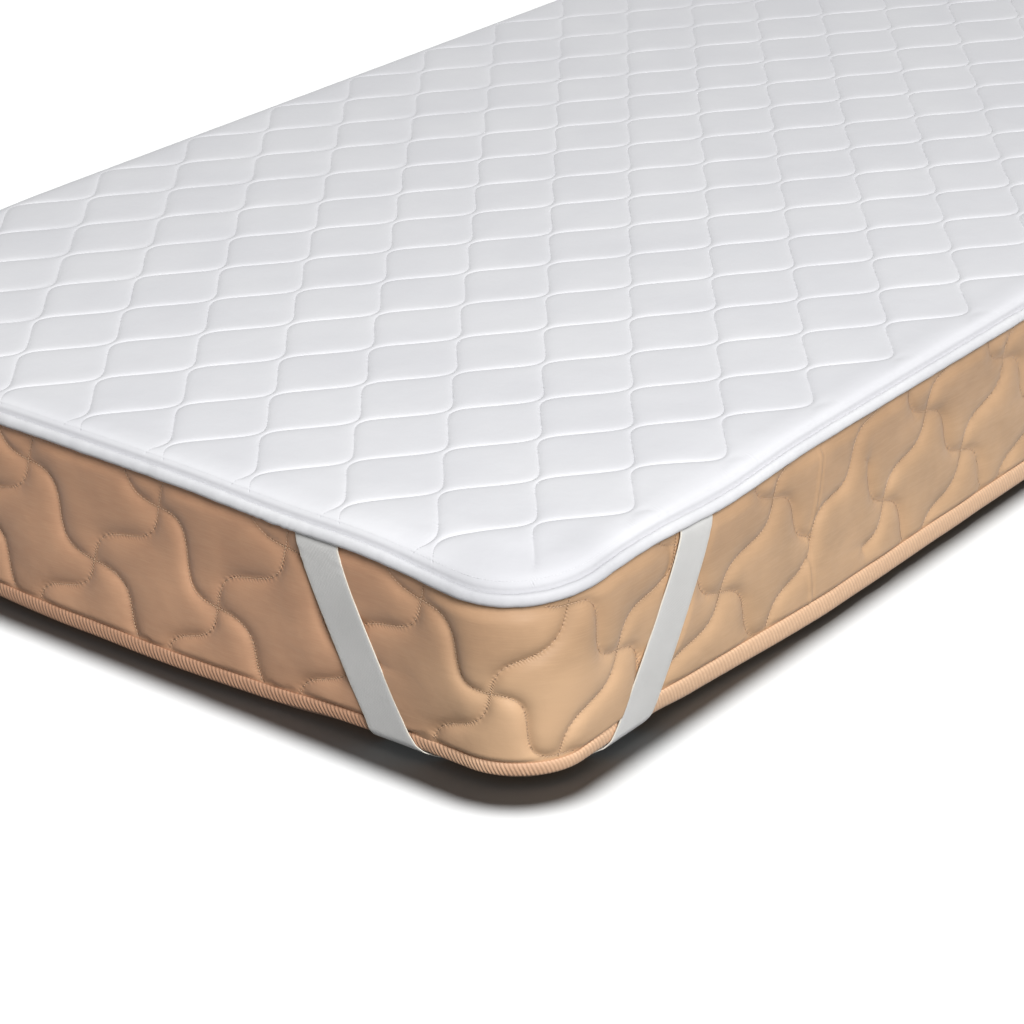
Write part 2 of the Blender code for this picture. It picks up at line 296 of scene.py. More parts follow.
class Skin:
    def __init__(self):
        self.points, self.faces, self.extras, self.count = [], [], {}, 0

    def add(self, points, **extras):
        points = np.asarray(points, float)
        shape = points.shape[:-1]
        size = int(np.prod(shape))
        for name, values in extras.items():
            self.extras.setdefault(name, []).append((self.count, np.broadcast_to(values, shape).reshape(-1)))
        self.points.append(points.reshape(-1, 3))
        index = np.arange(self.count, self.count + size).reshape(shape)
        self.count += size
        return index

    def band(self, upper, lower, wrap=False):
        if wrap:
            upper, lower = np.append(upper, upper[0]), np.append(lower, lower[0])
        self.faces += np.stack([upper[:-1], upper[1:], lower[1:], lower[:-1]], -1).tolist()

    def sheet(self, index, wrapColumns=False, wrapRows=False):
        for upper, lower in zip(index, index[1:]):
            self.band(upper, lower, wrapColumns)
        if wrapRows:
            self.band(index[-1], index[0], wrapColumns)

    def lid(self, loop):
        self.faces.append([int(i) for i in loop])

    def fill(self, loop, inner, height):
        points = np.concatenate(self.points)[loop]
        edge = [Vector(p[:2]) for p in points]
        lines = [(i, (i + 1) % len(edge)) for i in range(len(edge))]
        plan, _, faces, *_ = delaunay_2d_cdt(edge + [Vector(p) for p in inner], lines, [], 1, 1e-6)
        plan = np.array([tuple(p) for p in plan])
        x, y = plan[:, 0], plan[:, 1]
        first = self.add(np.stack([x, y, height(x, y)], -1))[0]
        self.faces += [[int(first) + i for i in face] for face in faces]

    def make(self, name, *materials, weld=0.0):
        mesh = bpy.data.meshes.new(name)
        mesh.from_pydata(np.concatenate(self.points).tolist(), [], self.faces)
        for extra, parts in self.extras.items():
            values = np.zeros(self.count, np.float32)
            for first, part in parts:
                values[first:first + len(part)] = part
            mesh.attributes.new(extra, "FLOAT", "POINT").data.foreach_set("value", values)
        shape = bmesh.new()
        shape.from_mesh(mesh)
        if weld:
            bmesh.ops.remove_doubles(shape, verts=shape.verts, dist=weld)
        bmesh.ops.recalc_face_normals(shape, faces=shape.faces)
        shape.to_mesh(mesh)
        shape.free()
        mesh.shade_smooth()
        for material in materials:
            mesh.materials.append(material)
        thing = bpy.data.objects.new(name, mesh)
        bpy.context.scene.collection.objects.link(thing)
        return thing


def addThreads(name, middles, along, outward, length, width, height, material, sides=5):
    # one joined mesh of short stitches: each is a rounded bead of thread that follows the seam
    middles, along, outward = (np.asarray(v, float) for v in (middles, along, outward))
    along = along / np.linalg.norm(along, axis=-1, keepdims=True)
    aside = np.cross(along, outward)
    aside = aside / np.linalg.norm(aside, axis=-1, keepdims=True)
    up = np.cross(aside, along)
    turns = 2 * math.pi * np.arange(sides) / sides
    skin = Skin()
    rings = []
    for share, size in ((-0.33, 0.72), (0.33, 0.72)):
        ring = (middles[:, None] + along[:, None] * (share * length)
                + aside[:, None] * (np.cos(turns)[:, None] * width / 2 * size)
                + up[:, None] * (np.sin(turns)[:, None] * height / 2 * size))
        rings.append(skin.add(ring))
    tips = [skin.add(middles + along * (share * length)) for share in (-0.5, 0.5)]
    quads, corners = [], []
    for i in range(sides):
        j = (i + 1) % sides
        quads.append(np.stack([rings[0][:, i], rings[0][:, j], rings[1][:, j], rings[1][:, i]], -1))
        corners.append(np.stack([tips[0], rings[0][:, j], rings[0][:, i]], -1))
        corners.append(np.stack([tips[1], rings[1][:, i], rings[1][:, j]], -1))
    skin.faces += np.concatenate(quads).tolist() + np.concatenate(corners).tolist()
    return skin.make(name, material)


# Materials

def startMaterial(name, colour, roughness, specular, sheen=0.0, sheenRoughness=0.5):
    material = bpy.data.materials.new(name)
    material.use_nodes = True
    sockets = material.node_tree.nodes["Principled BSDF"].inputs
    for socket, value in (("Base Color", (*colour, 1)), ("Roughness", roughness), ("Specular IOR Level", specular),
                          ("Sheen Weight", sheen), ("Sheen Roughness", sheenRoughness)):
        sockets[socket].default_value = value
    return material, material.node_tree, sockets


def node(tree, kind, links=None, values=None, **settings):
    made = tree.nodes.new(kind)
    for name, value in settings.items():
        setattr(made, name, value)
    for socket, value in (values or {}).items():
        made.inputs[socket].default_value = value
    for socket, source in (links or {}).items():
        tree.links.new(source, made.inputs[socket])
    return made


def maths(tree, operation, *values):
    made = node(tree, "ShaderNodeMath", operation=operation)
    for socket, value in zip(made.inputs, values):
        if isinstance(value, (int, float)):
            socket.default_value = value
        else:
            tree.links.new(value, socket)
    return made.outputs[0]


def reading(tree, name):
    return node(tree, "ShaderNodeAttribute", attribute_name=name).outputs["Fac"]


def spread(tree, value, low, high, lowTo, highTo):
    made = node(tree, "ShaderNodeMapRange", {"Value": value}, clamp=True)
    for socket, number in (("From Min", low), ("From Max", high), ("To Min", lowTo), ("To Max", highTo)):
        made.inputs[socket].default_value = number
    return made.outputs["Result"]


def objectNoise(tree, scales, detail=3.0, roughness=0.55):
    spot = node(tree, "ShaderNodeTexCoord").outputs["Object"]
    mapped = node(tree, "ShaderNodeMapping", {"Vector": spot}, {"Scale": scales}).outputs["Vector"]
    noise = node(tree, "ShaderNodeTexNoise", {"Vector": mapped},
                 {"Scale": 1.0, "Detail": detail, "Roughness": roughness})
    return noise.outputs["Fac"]


def blendColours(tree, amount, first, second):
    made = tree.nodes.new("ShaderNodeMix")
    made.data_type = "RGBA"
    tree.links.new(amount, made.inputs["Factor"])
    for socket, colour in (("A", first), ("B", second)):
        target = [s for s in made.inputs if s.name == socket and s.type == "RGBA"][0]
        if isinstance(colour, tuple):
            target.default_value = (*colour, 1)
        else:
            tree.links.new(colour, target)
    return [s for s in made.outputs if s.type == "RGBA"][0]


def dress(tree, sockets, colour, *bumps):
    # the cloth's colour, and its bumps, each on top of the one before: height, distance and strength
    tree.links.new(colour, sockets["Base Color"])
    under = {}
    for height, distance, strength in bumps:
        bump = node(tree, "ShaderNodeBump", {"Height": height, **under},
                    {"Distance": distance, "Strength": strength})
        under = {"Normal": bump.outputs["Normal"]}
    tree.links.new(under["Normal"], sockets["Normal"])


def times(tree, a, b):
    return maths(tree, "MULTIPLY", a, b)


def stripes(tree, value, pitch):
    return maths(tree, "SINE", times(tree, value, 2 * math.pi / pitch))


def cloudyColour(tree, scales, shade, plain):
    return blendColours(tree, spread(tree, objectNoise(tree, scales), 0.35, 0.65, 0.0, 1.0), shade, plain)


seamLook = {"fades": (0.008, 0.013), "creaseDeep": 0.10, "holeDeep": 0.45}


def seamRelief(tree, offset, nearby, along, look):
    # a thin crease, the needle holes in it and small gathers beside it: a height, and where the holes are
    size = maths(tree, "ABSOLUTE", offset)
    closeBy = spread(tree, nearby, *seamLook["fades"], 1.0, 0.0)
    turn = times(tree, along, math.pi / look["stitchPitch"])
    apart = times(tree, maths(tree, "SINE", turn), look["stitchPitch"] / math.pi)
    square = maths(tree, "ADD", times(tree, size, size), times(tree, apart, apart))
    holes = spread(tree, maths(tree, "SQRT", square), 0.4 * look["hole"], look["hole"], 1.0, 0.0)
    holes = times(tree, holes, closeBy)
    groove = times(tree, spread(tree, size, 0.0, look["crease"], 1.0, 0.0), closeBy)
    beat = maths(tree, "COSINE", times(tree, turn, 2.0))
    gathers = times(tree, spread(tree, size, look["crease"], look["pucker"], 1.0, 0.0), closeBy)
    gathers = times(tree, times(tree, gathers, beat), -look["gather"])
    deep = maths(tree, "ADD", times(tree, groove, seamLook["creaseDeep"]), times(tree, holes, seamLook["holeDeep"]))
    return maths(tree, "SUBTRACT", gathers, deep), holes


cottonLook = {
    "colour": (0.765, 0.765, 0.785),
    "shade": (0.735, 0.735, 0.760),
    # painted shade: round the near corner and along the edge, in the groove beside the binding, and in the needle
    # holes
    "corner": (0.590, 0.590, 0.612),
    "ditch": (0.46, 0.46, 0.48),
    "holes": (0.50, 0.50, 0.53),
    "holeShadeShow": 0.12,
    "stitchPitch": 0.0030,
    "hole": 0.0007,
    "crease": 0.0011,
    "pucker": 0.0050,
    "gather": 0.15,
}


def makeCotton():
    material, tree, sockets = startMaterial("quiltedCotton", cottonLook["colour"], 0.82, 0.22, 0.18, 0.45)
    nearby, along = (reading(tree, n) for n in ("seamNearby", "seamAlong"))
    relief, holes = seamRelief(tree, nearby, nearby, along, cottonLook)
    colour = cloudyColour(tree, (9, 9, 9), cottonLook["shade"], cottonLook["colour"])
    # painted shade round the near corner and along the edge, in the groove beside the binding and in the needle
    # holes
    colour = blendColours(tree, reading(tree, "cornerShade"), colour, cottonLook["corner"])
    colour = blendColours(tree, reading(tree, "ditch"), colour, cottonLook["ditch"])
    colour = blendColours(tree, times(tree, holes, cottonLook["holeShadeShow"]), colour, cottonLook["holes"])
    dress(tree, sockets, colour, (objectNoise(tree, (1500, 1500, 1500), 2.0), 0.00012, 0.5),
          (objectNoise(tree, (60, 60, 60), 3.0), 0.0006, 0.5), (relief, 0.0004, 1.0))
    return material


tapeLook = {
    "colour": (0.745, 0.745, 0.760),
    "shade": (0.705, 0.705, 0.725),
    # painted shade by the near corner
    "corner": (0.565, 0.565, 0.585),
    "twillPitch": 0.0011,
    "twillLean": 0.8,
}


def makeWhiteTape():
    material, tree, sockets = startMaterial("whiteTape", tapeLook["colour"], 0.55, 0.35, 0.12, 0.4)
    leaning = times(tree, reading(tree, "roundEdge"), tapeLook["twillLean"])
    twill = stripes(tree, maths(tree, "ADD", reading(tree, "alongEdge"), leaning), tapeLook["twillPitch"])
    colour = cloudyColour(tree, (14, 14, 30), tapeLook["shade"], tapeLook["colour"])
    # painted shade by the near corner
    colour = blendColours(tree, reading(tree, "cornerShade"), colour, tapeLook["corner"])
    dress(tree, sockets, colour, (twill, 0.00010, 0.5),
          (objectNoise(tree, (160, 160, 90), 3.0), 0.0007, 0.5))
    return material


tickingLook = {
    # painted light and shade: a warm tan on the long sides and a redder, darker tan on the short ones, each from
    # its clouds to its plain cloth
    "litGolden": ((0.460, 0.293, 0.170), (0.550, 0.350, 0.203)),
    "shadedBrown": ((0.462, 0.253, 0.150), (0.545, 0.304, 0.180)),
    "light": (0.635, 0.410, 0.243),
    "streaks": 0.30,
    # painted light by the near corner, towards the pale colour above
    "paintedCornerLight": 0.75,
    # painted shade, in the needle holes and on the upper side under the topper's edge
    "hollowShade": (0.180, 0.085, 0.045),
    "holeShadeShare": 0.58,
    "paintedTopShade": (0.095, 0.145, 0.0, 0.17),   # heights from and to, shares from and to
    "stitchPitch": 0.0031,
    "hole": 0.00085,
    "crease": 0.0011,
    "pucker": 0.0040,
    "gather": 0.15,
}


def makeTicking():
    material, tree, sockets = startMaterial("ticking", tickingLook["light"], 0.50, 0.40, 0.08, 0.4)
    reliefs, holes = zip(*(seamRelief(tree, *(reading(tree, n + family) for n in ("offset", "nearby", "along")),
                                      tickingLook) for family in "AB"))
    streaks = objectNoise(tree, (45, 45, 1400), 4.0, 0.6)     # the satin's weft, level on every side
    cloudy = spread(tree, objectNoise(tree, (17, 17, 21), 3.0), 0.36, 0.66, 0.0, 1.0)
    litGolden = blendColours(tree, cloudy, *tickingLook["litGolden"])
    shadedBrown = blendColours(tree, cloudy, *tickingLook["shadedBrown"])
    # painted shade: redder and darker on the short sides
    colour = blendColours(tree, reading(tree, "shortSide"), litGolden, shadedBrown)
    # painted light by the near corner
    paintedLight = times(tree, reading(tree, "paintedCornerLight"), tickingLook["paintedCornerLight"])
    for share in (spread(tree, streaks, 0.45, 0.75, 0.0, tickingLook["streaks"]), paintedLight):
        colour = blendColours(tree, share, colour, tickingLook["light"])
    # painted shade in the needle holes and on the upper side, under the topper's edge
    hollowShade = times(tree, maths(tree, "MAXIMUM", *holes), tickingLook["holeShadeShare"])
    upper = spread(tree, reading(tree, "level"), *tickingLook["paintedTopShade"])
    hollowShade = maths(tree, "MAXIMUM", hollowShade, upper)
    colour = blendColours(tree, hollowShade, colour, tickingLook["hollowShade"])
    tree.links.new(spread(tree, streaks, 0.3, 0.7, 0.58, 0.42), sockets["Roughness"])
    dress(tree, sockets, colour, (streaks, 0.00008, 0.5), (objectNoise(tree, (38, 38, 50), 3.0), 0.0011, 0.6),
          (maths(tree, "ADD", *reliefs), 0.0008, 1.0))
    return material


ribLook = {
    # painted shade: each pair runs from the darker rib valleys to the ribs, and the tape is darker on the short
    # sides
    "litGolden": ((0.640, 0.410, 0.258), (0.790, 0.525, 0.340)),
    "shadedBrown": ((0.400, 0.220, 0.135), (0.500, 0.285, 0.178)),
    "pitch": 0.0040,
    "lean": 0.46,               # how far a rib runs along for each metre down
    "wobble": 0.0016,
}


def makeRibbedTape():
    material, tree, sockets = startMaterial("ribbedTape", ribLook["litGolden"][1], 0.55, 0.35, 0.10, 0.4)
    leaning = times(tree, reading(tree, "downEdge"), ribLook["lean"])
    slanted = maths(tree, "SUBTRACT", reading(tree, "alongEdge"), leaning)
    wobble = maths(tree, "SUBTRACT", objectNoise(tree, (70, 70, 70)), 0.5)
    slanted = maths(tree, "ADD", slanted, times(tree, wobble, ribLook["wobble"]))
    ribs = spread(tree, stripes(tree, slanted, ribLook["pitch"]), -1.0, 1.0, 0.0, 1.0)
    uneven = spread(tree, objectNoise(tree, (120, 120, 160), 4.0), 0.35, 0.70, 0.55, 1.15)
    rounded = times(tree, maths(tree, "POWER", ribs, 0.7), uneven)
    litGolden = blendColours(tree, rounded, *ribLook["litGolden"])
    shadedBrown = blendColours(tree, rounded, *ribLook["shadedBrown"])
    # painted shade: darker on the short sides
    colour = blendColours(tree, reading(tree, "shortSide"), litGolden, shadedBrown)
    dress(tree, sockets, colour, (objectNoise(tree, (1100, 1100, 1100), 2.0), 0.0002, 0.6),
          (rounded, 0.0004, 1.0))
    return material


elasticLook = {
    "colour": (0.680, 0.672, 0.655),
    "shade": (0.635, 0.628, 0.612),
    "selvedge": (0.760, 0.720, 0.640),
    "ribPitch": 0.0011,
    "warpPitch": 0.0016,
    "selvedgeFrom": (0.0186, 0.0190),   # from the middle
}


def makeElastic():
    material, tree, sockets = startMaterial("wovenElastic", elasticLook["colour"], 0.62, 0.30, 0.15, 0.4)
    across = reading(tree, "acrossStrap")
    ribs = stripes(tree, reading(tree, "alongStrap"), elasticLook["ribPitch"])
    warps = stripes(tree, across, elasticLook["warpPitch"])
    edge = spread(tree, maths(tree, "ABSOLUTE", across), *elasticLook["selvedgeFrom"], 0.0, 1.0)
    colour = cloudyColour(tree, (16, 16, 16), elasticLook["shade"], elasticLook["colour"])
    colour = blendColours(tree, edge, colour, elasticLook["selvedge"])
    dress(tree, sockets, colour, (times(tree, ribs, maths(tree, "ADD", warps, 1.6)), 0.00010, 0.6))
    return material


def makeThread(name, colour):
    material, tree, sockets = startMaterial(name, colour, 0.45, 0.45)
    twist = objectNoise(tree, (900, 900, 900), 2.0)
    dress(tree, sockets, blendColours(tree, twist, tuple(0.85 * c for c in colour), colour), (twist, 0.00015, 0.6))
    return material


cotton = makeCotton()
whiteTape = makeWhiteTape()
ticking = makeTicking()
ribbedTape = makeRibbedTape()
wovenElastic = makeElastic()
tanThread = makeThread("tanThread", (0.66, 0.455, 0.295))
whiteThread = makeThread("whiteThread", (0.80, 0.80, 0.82))
print("materials made")


# The topper's quilted panel

panel = {
    "repeat": 0.127,            # one ogee, along the bed
    "pitch": 0.0458,            # between needle lines, across it
    "sway": 0.44,               # of the pitch, to each side
    "start": (0.0646, 0.0816),  # the pattern's first node, in from the near corner's walls
    "straighten": 0.045,        # makes the flanks of an ogee straighter than a plain wave
    "seamDepth": 0.0012,
    "seamReach": 0.0020,
    "crownRise": 0.0005,
    "fullWidth": 0.040,         # strips narrower than this rise less
    "edgeShare": 0.66,          # of that height, where the relief dies out towards the edge
    "reliefFrom": (0.003, 0.022),
    "unevenness": 0.00030,
    "edgeRound": 0.024,
    "edgeFall": 0.0032,
    "grooveDepth": 0.0060,
    "grooveReach": 0.0022,
    "lastIn": 0.0010,           # the upper face ends this far inside the wall, in the binding's groove
    "firstLine": -18,           # needle lines that never reach the edge, from the left to the right
    "lastLine": 0,
    "fineFrom": -13,            # strips from here to the right get the closer columns
    "rows": ((-0.975, 0.0026), (-0.820, 0.0047), (-0.100, 0.0095)),
    "rim": ((-0.0006, -0.0149), (0.0013, -0.0156), (0.0014, -0.0175)),
    "under": (-0.006, -0.018, -0.036, -0.060),
    "gap": 0.0004,
}


def rolledTop(out):
    share = np.clip(1 + out / bed["rimRoll"], 0, 1)
    return bed["height"] - bed["rimDrop"] * (1 - np.sqrt(1 - share ** 2))


def needleWave(row):
    # one needle line's sway, from -1 to 1, and how fast it changes with the row
    k = panel["straighten"]
    wave = (np.cos(math.pi * row) + k * np.cos(3 * math.pi * row)) / (1 + k)
    return wave, -math.pi * (np.sin(math.pi * row) + 3 * k * np.sin(3 * math.pi * row)) / (1 + k)


def lineShift(line, row):
    return 0.5 - (-1.0) ** line * panel["sway"] * needleWave(row)[0]


def patternPlace(x, y):
    column = (x - bed["halfWidth"] + panel["start"][0]) / panel["pitch"]
    row = (y + bed["halfLength"] - panel["start"][1]) / (panel["repeat"] / 2)
    return column, row


def seamGaps(x, y):
    # square distances to the needle lines on the left and on the right
    column, row = patternPlace(x, y)
    steep = panel["pitch"] * panel["sway"] / (panel["repeat"] / 2) * needleWave(row)[1]
    scale = panel["pitch"] / np.sqrt(1 + steep ** 2)
    left = np.full_like(column, 9.0)
    right = np.full_like(column, 9.0)
    base = np.floor(column)
    for step in (-2, -1, 0, 1):
        line = base + step
        gap = column - line - lineShift(line, row)
        left = np.where(gap >= 0, np.minimum(left, gap), left)
        right = np.where(gap < 0, np.minimum(right, -gap), right)
    return left * scale, right * scale


def softStep(gap, reach, blunt=0.0004):
    return 1 - np.exp(-(np.sqrt(gap ** 2 + blunt ** 2) - blunt) / reach)


def panelHeight(x, y):
    inside, _ = edgePlace(x, y)
    left, right = seamGaps(x, y)
    relief = panel["seamDepth"] * softStep(left, panel["seamReach"]) * softStep(right, panel["seamReach"])
    wide = left + right + 1e-9
    relief += panel["crownRise"] * (1 - ((left - right) / wide) ** 2) * np.minimum(1, wide / panel["fullWidth"])
    relief += panel["unevenness"] * np.sin(x * 61 + 2 * np.sin(y * 23)) * np.sin(y * 47 + 2 * np.sin(x * 31)) \
        * softStep(np.minimum(left, right), 0.010)
    level = panel["edgeShare"] * (panel["seamDepth"] + panel["crownRise"])
    relief = level + (relief - level) * ramp(inside, *panel["reliefFrom"])
    edge = np.maximum(0, panel["edgeRound"] - inside) / (panel["edgeRound"] + 0.0015)
    fall = panel["edgeFall"] * edge ** 2
    fall += panel["grooveDepth"] * np.exp(-np.maximum(0, inside - panel["lastIn"]) / panel["grooveReach"])
    return bed["crown"] - panel["seamDepth"] - panel["crownRise"] + relief - fall


def panelRows():
    end = bed["halfLength"] - panel["lastIn"]
    rolls = (0.0, 0.0004, 0.0010, 0.0018, 0.0030, 0.0048, 0.0075, 0.0110, 0.0160, 0.0205)
    rows = [-end + r for r in rolls]
    steps = panel["rows"] + ((end - 0.025, 0),)
    for (start, step), (stop, _) in zip(steps, steps[1:]):
        rows += list(np.linspace(start, stop, max(1, round((stop - start) / step)), endpoint=False))
    return np.array(rows + [end - 0.025] + [end - r for r in reversed(rolls)])


def panelPlan():
    y = panelRows()
    row = patternPlace(0.0, y)[1]
    x0 = bed["halfWidth"] - panel["start"][0]
    edge = bed["halfWidth"] - panel["lastIn"]
    first = x0 + panel["pitch"] * (panel["firstLine"] + lineShift(panel["firstLine"], row))
    last = x0 + panel["pitch"] * (panel["lastLine"] + lineShift(panel["lastLine"], row))
    columns = [-edge + (first + edge) * f for f in (0, 0.01, 0.03, 0.07, 0.13, 0.22, 0.36, 0.54, 0.74, 0.9, 0.97)]
    close = (-1, -0.985, -0.955, -0.90, -0.80, -0.62, -0.35, 0, 0.35, 0.62, 0.80, 0.90, 0.955, 0.985)
    loose = (-1, -0.94, -0.80, -0.45, 0, 0.45, 0.80, 0.94)
    for strip in range(panel["firstLine"] + 1, panel["lastLine"] + 1):
        middle = x0 + panel["pitch"] * strip
        half = panel["pitch"] * lineShift(strip, row)
        for share in (close if strip >= panel["fineFrom"] else loose):
            columns.append(middle + half * share)
    ends = (0, 0.02, 0.06, 0.13, 0.22, 0.33, 0.45, 0.57, 0.68, 0.78, 0.86, 0.92, 0.96, 0.98, 0.992, 1)
    columns += [last + (edge - last) * f for f in ends]
    x = np.stack(columns, -1)
    y = np.broadcast_to(y[:, None], x.shape).copy()
    return roundCorners(x, y)


def cornerParts(x, y):
    # where the corner arcs have their middles, and how far a point lies beyond those
    cx, cy = bed["halfWidth"] - bed["cornerRadius"], bed["halfLength"] - bed["cornerRadius"]
    return cx, cy, np.maximum(0, np.abs(x) - cx), np.maximum(0, np.abs(y) - cy)


def roundCorners(x, y):
    r = bed["cornerRadius"] - panel["lastIn"]
    cx, cy, p, q = cornerParts(x, y)
    both = np.maximum(p, q)
    share = 1 - ramp(both, 0.25 * r, r) * (1 - both / np.maximum(np.hypot(p, q), 1e-9))
    here = (p > 0) & (q > 0)
    x = np.where(here, np.sign(x) * (cx + p * share), x)
    y = np.where(here, np.sign(y) * (cy + q * share), y)
    return x, y


def ringOf(index):
    return np.concatenate([index[0, :-1], index[:-1, -1], index[-1, :0:-1], index[:0:-1, 0]])


def outlineNormals(x, y):
    _, _, p, q = cornerParts(x, y)
    size = np.hypot(p, q)
    return np.sign(x) * p / size, np.sign(y) * q / size


def addPanel():
    skin = Skin()
    x, y = panelPlan()
    left, right = seamGaps(x, y)
    nearby = np.minimum(left, right)
    _, row = patternPlace(x, y)
    shade, ditch = panelShade(x, y)
    walked = (row + 0.18 * np.sin(2 * math.pi * row)) * panel["repeat"] / 2
    index = skin.add(settled(x, y, panelHeight(x, y)), seamNearby=nearby, seamAlong=walked,
                     cornerShade=shade, ditch=ditch)
    skin.sheet(index)
    ring = ringOf(index)
    rx, ry = x.reshape(-1)[ring], y.reshape(-1)[ring]
    nx, ny = outlineNormals(rx, ry)

    def loop(out, z):
        px, py = rx + nx * (out + panel["lastIn"]), ry + ny * (out + panel["lastIn"])
        return skin.add(settled(px, py, z), seamNearby=1.0, cornerShade=cornerShade(rx, ry),
                        ditch=paintedShade["ditch"])

    loops = [ring] + [loop(out, bed["crown"] + drop) for out, drop in panel["rim"]]
    loops += [loop(out, rolledTop(out) + panel["gap"]) for out in panel["under"]]
    for upper, lower in zip(loops, loops[1:]):
        skin.band(upper, lower, wrap=True)
    skin.lid(loops[-1])
    return skin.make("quiltedPanel", cotton)


quiltedPanel = addPanel()
print("panel:", len(quiltedPanel.data.polygons), "faces")


# The topper's bound edge

binding = {
    # out and drop from the crown, from the groove over the plump edge and back inside it
    "section": ((0.0001, -0.0142), (0.0000, -0.0130), (0.0005, -0.0119), (0.0015, -0.0112),
                (0.0028, -0.0111), (0.0041, -0.0117), (0.0051, -0.0128), (0.0058, -0.0142),
                (0.0062, -0.0156), (0.0064, -0.0171), (0.0062, -0.0186), (0.0055, -0.0200),
                (0.0044, -0.0211), (0.0032, -0.0216), (0.0023, -0.0212), (0.0020, -0.0201),
                (0.0020, -0.0180), (0.0020, -0.0160), (0.0018, -0.0153), (0.0010, -0.0147)),
    "near": 0.620,
    "nearStep": 0.0022,
    "farStep": 0.0075,
    "flat": (0.018, 5.67),
    "stitchPitch": 0.0030,
    "stitchIn": 0.0034,
    "stitchLift": 0.00005,
    "stitch": (0.0021, 0.00045, 0.00040),   # its length, width and height
    # where the corner's pull creases it: run, reach, strength
    "pinches": ((-0.236, 0.024, 1.0), (0.215, 0.026, 0.40), (-0.01, 0.045, 0.25)),
    "crease": (0.00042, 0.0105),            # height and spacing
    "swells": ((0.00022, 3.0, 0.045), (0.00012, 7.0, 0.017)),
    "topEnds": 15,                          # the section's points from here on lie inside, and stay smooth
}


def bindingPuff(run, share):
    # how much a place on the binding swells or shrinks; share is 0 at the groove and 1 underneath
    s = nearSigned(run)
    height, spacing = binding["crease"]
    swell = sum(size * waver(run, seed, wave) for size, seed, wave in binding["swells"])
    pinch = sum(strength * hump(s, middle, reach) for middle, reach, strength in binding["pinches"])
    creases = np.sin((s + share * 0.016) * 2 * math.pi / spacing + 2.1 * np.sin(s * 170) + 1.3 * np.sin(s * 61))
    return swell + height * pinch * creases * ramp(share, 0.25, 0.85)


def addBinding():
    skin = Skin()
    run = spacedRuns(binding["near"], binding["nearStep"], binding["farStep"])
    section = np.array(binding["section"])
    middle = section.mean(0)
    last = binding["topEnds"]
    rows = []
    travelled = np.concatenate([[0], np.cumsum(np.hypot(*np.diff(section, axis=0).T))])
    for i, (out, drop) in enumerate(section):
        puff = bindingPuff(run, i / (last - 1)) if 0 < i < last else 0.0
        way = (section[i] - middle) / np.hypot(*(section[i] - middle))
        rows.append(place(run, out + way[0] * puff, bed["crown"] + drop + way[1] * puff))
    x, y = wallPlan(run)[:2]
    index = skin.add(np.array(rows), alongEdge=run[None, :], roundEdge=travelled[:, None],
                     cornerShade=cornerShade(x, y)[None, :])
    skin.sheet(index, wrapColumns=True, wrapRows=True)
    return skin.make("edgeBinding", whiteTape)


def addBindingStitches():
    count = round(bed["around"] / binding["stitchPitch"])
    run = bed["around"] * np.arange(count) / count
    inner = -binding["stitchIn"]
    x, y, nx, ny, _ = wallPlan(run)
    px, py = x + nx * inner, y + ny * inner
    middles = np.stack([px, py, settle(px, py, panelHeight(px, py)) + binding["stitchLift"]], -1)
    along = np.stack([-ny, nx, 0 * nx], -1)
    outward = np.stack([0.6 * nx, 0.6 * ny, 0 * nx + 0.8], -1)
    return addThreads("bindingStitches", middles, along, outward, *binding["stitch"], whiteThread)


edgeBinding = addBinding()
bindingStitches = addBindingStitches()
print("binding:", len(edgeBinding.data.polygons), "faces, stitches:", len(bindingStitches.data.polygons))


# The mattress

elastic = {
    "width": 0.040,
    "thickness": 0.0012,
    "clearance": 0.0010,
    "top": (0.2140, 0.2040),    # its middle, from the corner along the short side and along the long side
    "foot": (0.1525, 0.1405),
    "under": (0.1340, 0.1180),
    "footSpread": (1.00, 1.24),
    "underSpread": (1.36, 1.30),
    # what it lies over: out and height, from under the topper's rim to the mattress's underside
    "path": ((-0.0006, 0.1789), (-0.0005, 0.1762), (0.0003, 0.1735), (0.0015, 0.1698), (0.0019, 0.1655),
             (0.0020, 0.1600), (0.0018, 0.125), (0.0018, 0.095), (0.0018, 0.070), (0.0019, 0.045),
             (0.0025, 0.0200), (0.0027, 0.0100), (0.0014, 0.0060), (-0.006, 0.0008), (-0.014, 0.0)),
    "footRow": 10,
    "across": (-1, -0.985, -0.93, -0.75, -0.4, 0, 0.4, 0.75, 0.93, 0.985, 1),
    "step": 0.0022,
    "underWidth": 0.15,         # about how far it runs under the mattress, and its steps there
    "underStep": 0.006,
    "edgeFrom": 0.93,           # its edges are thinner from here out, by this share
    "edgeThin": 0.45,
}

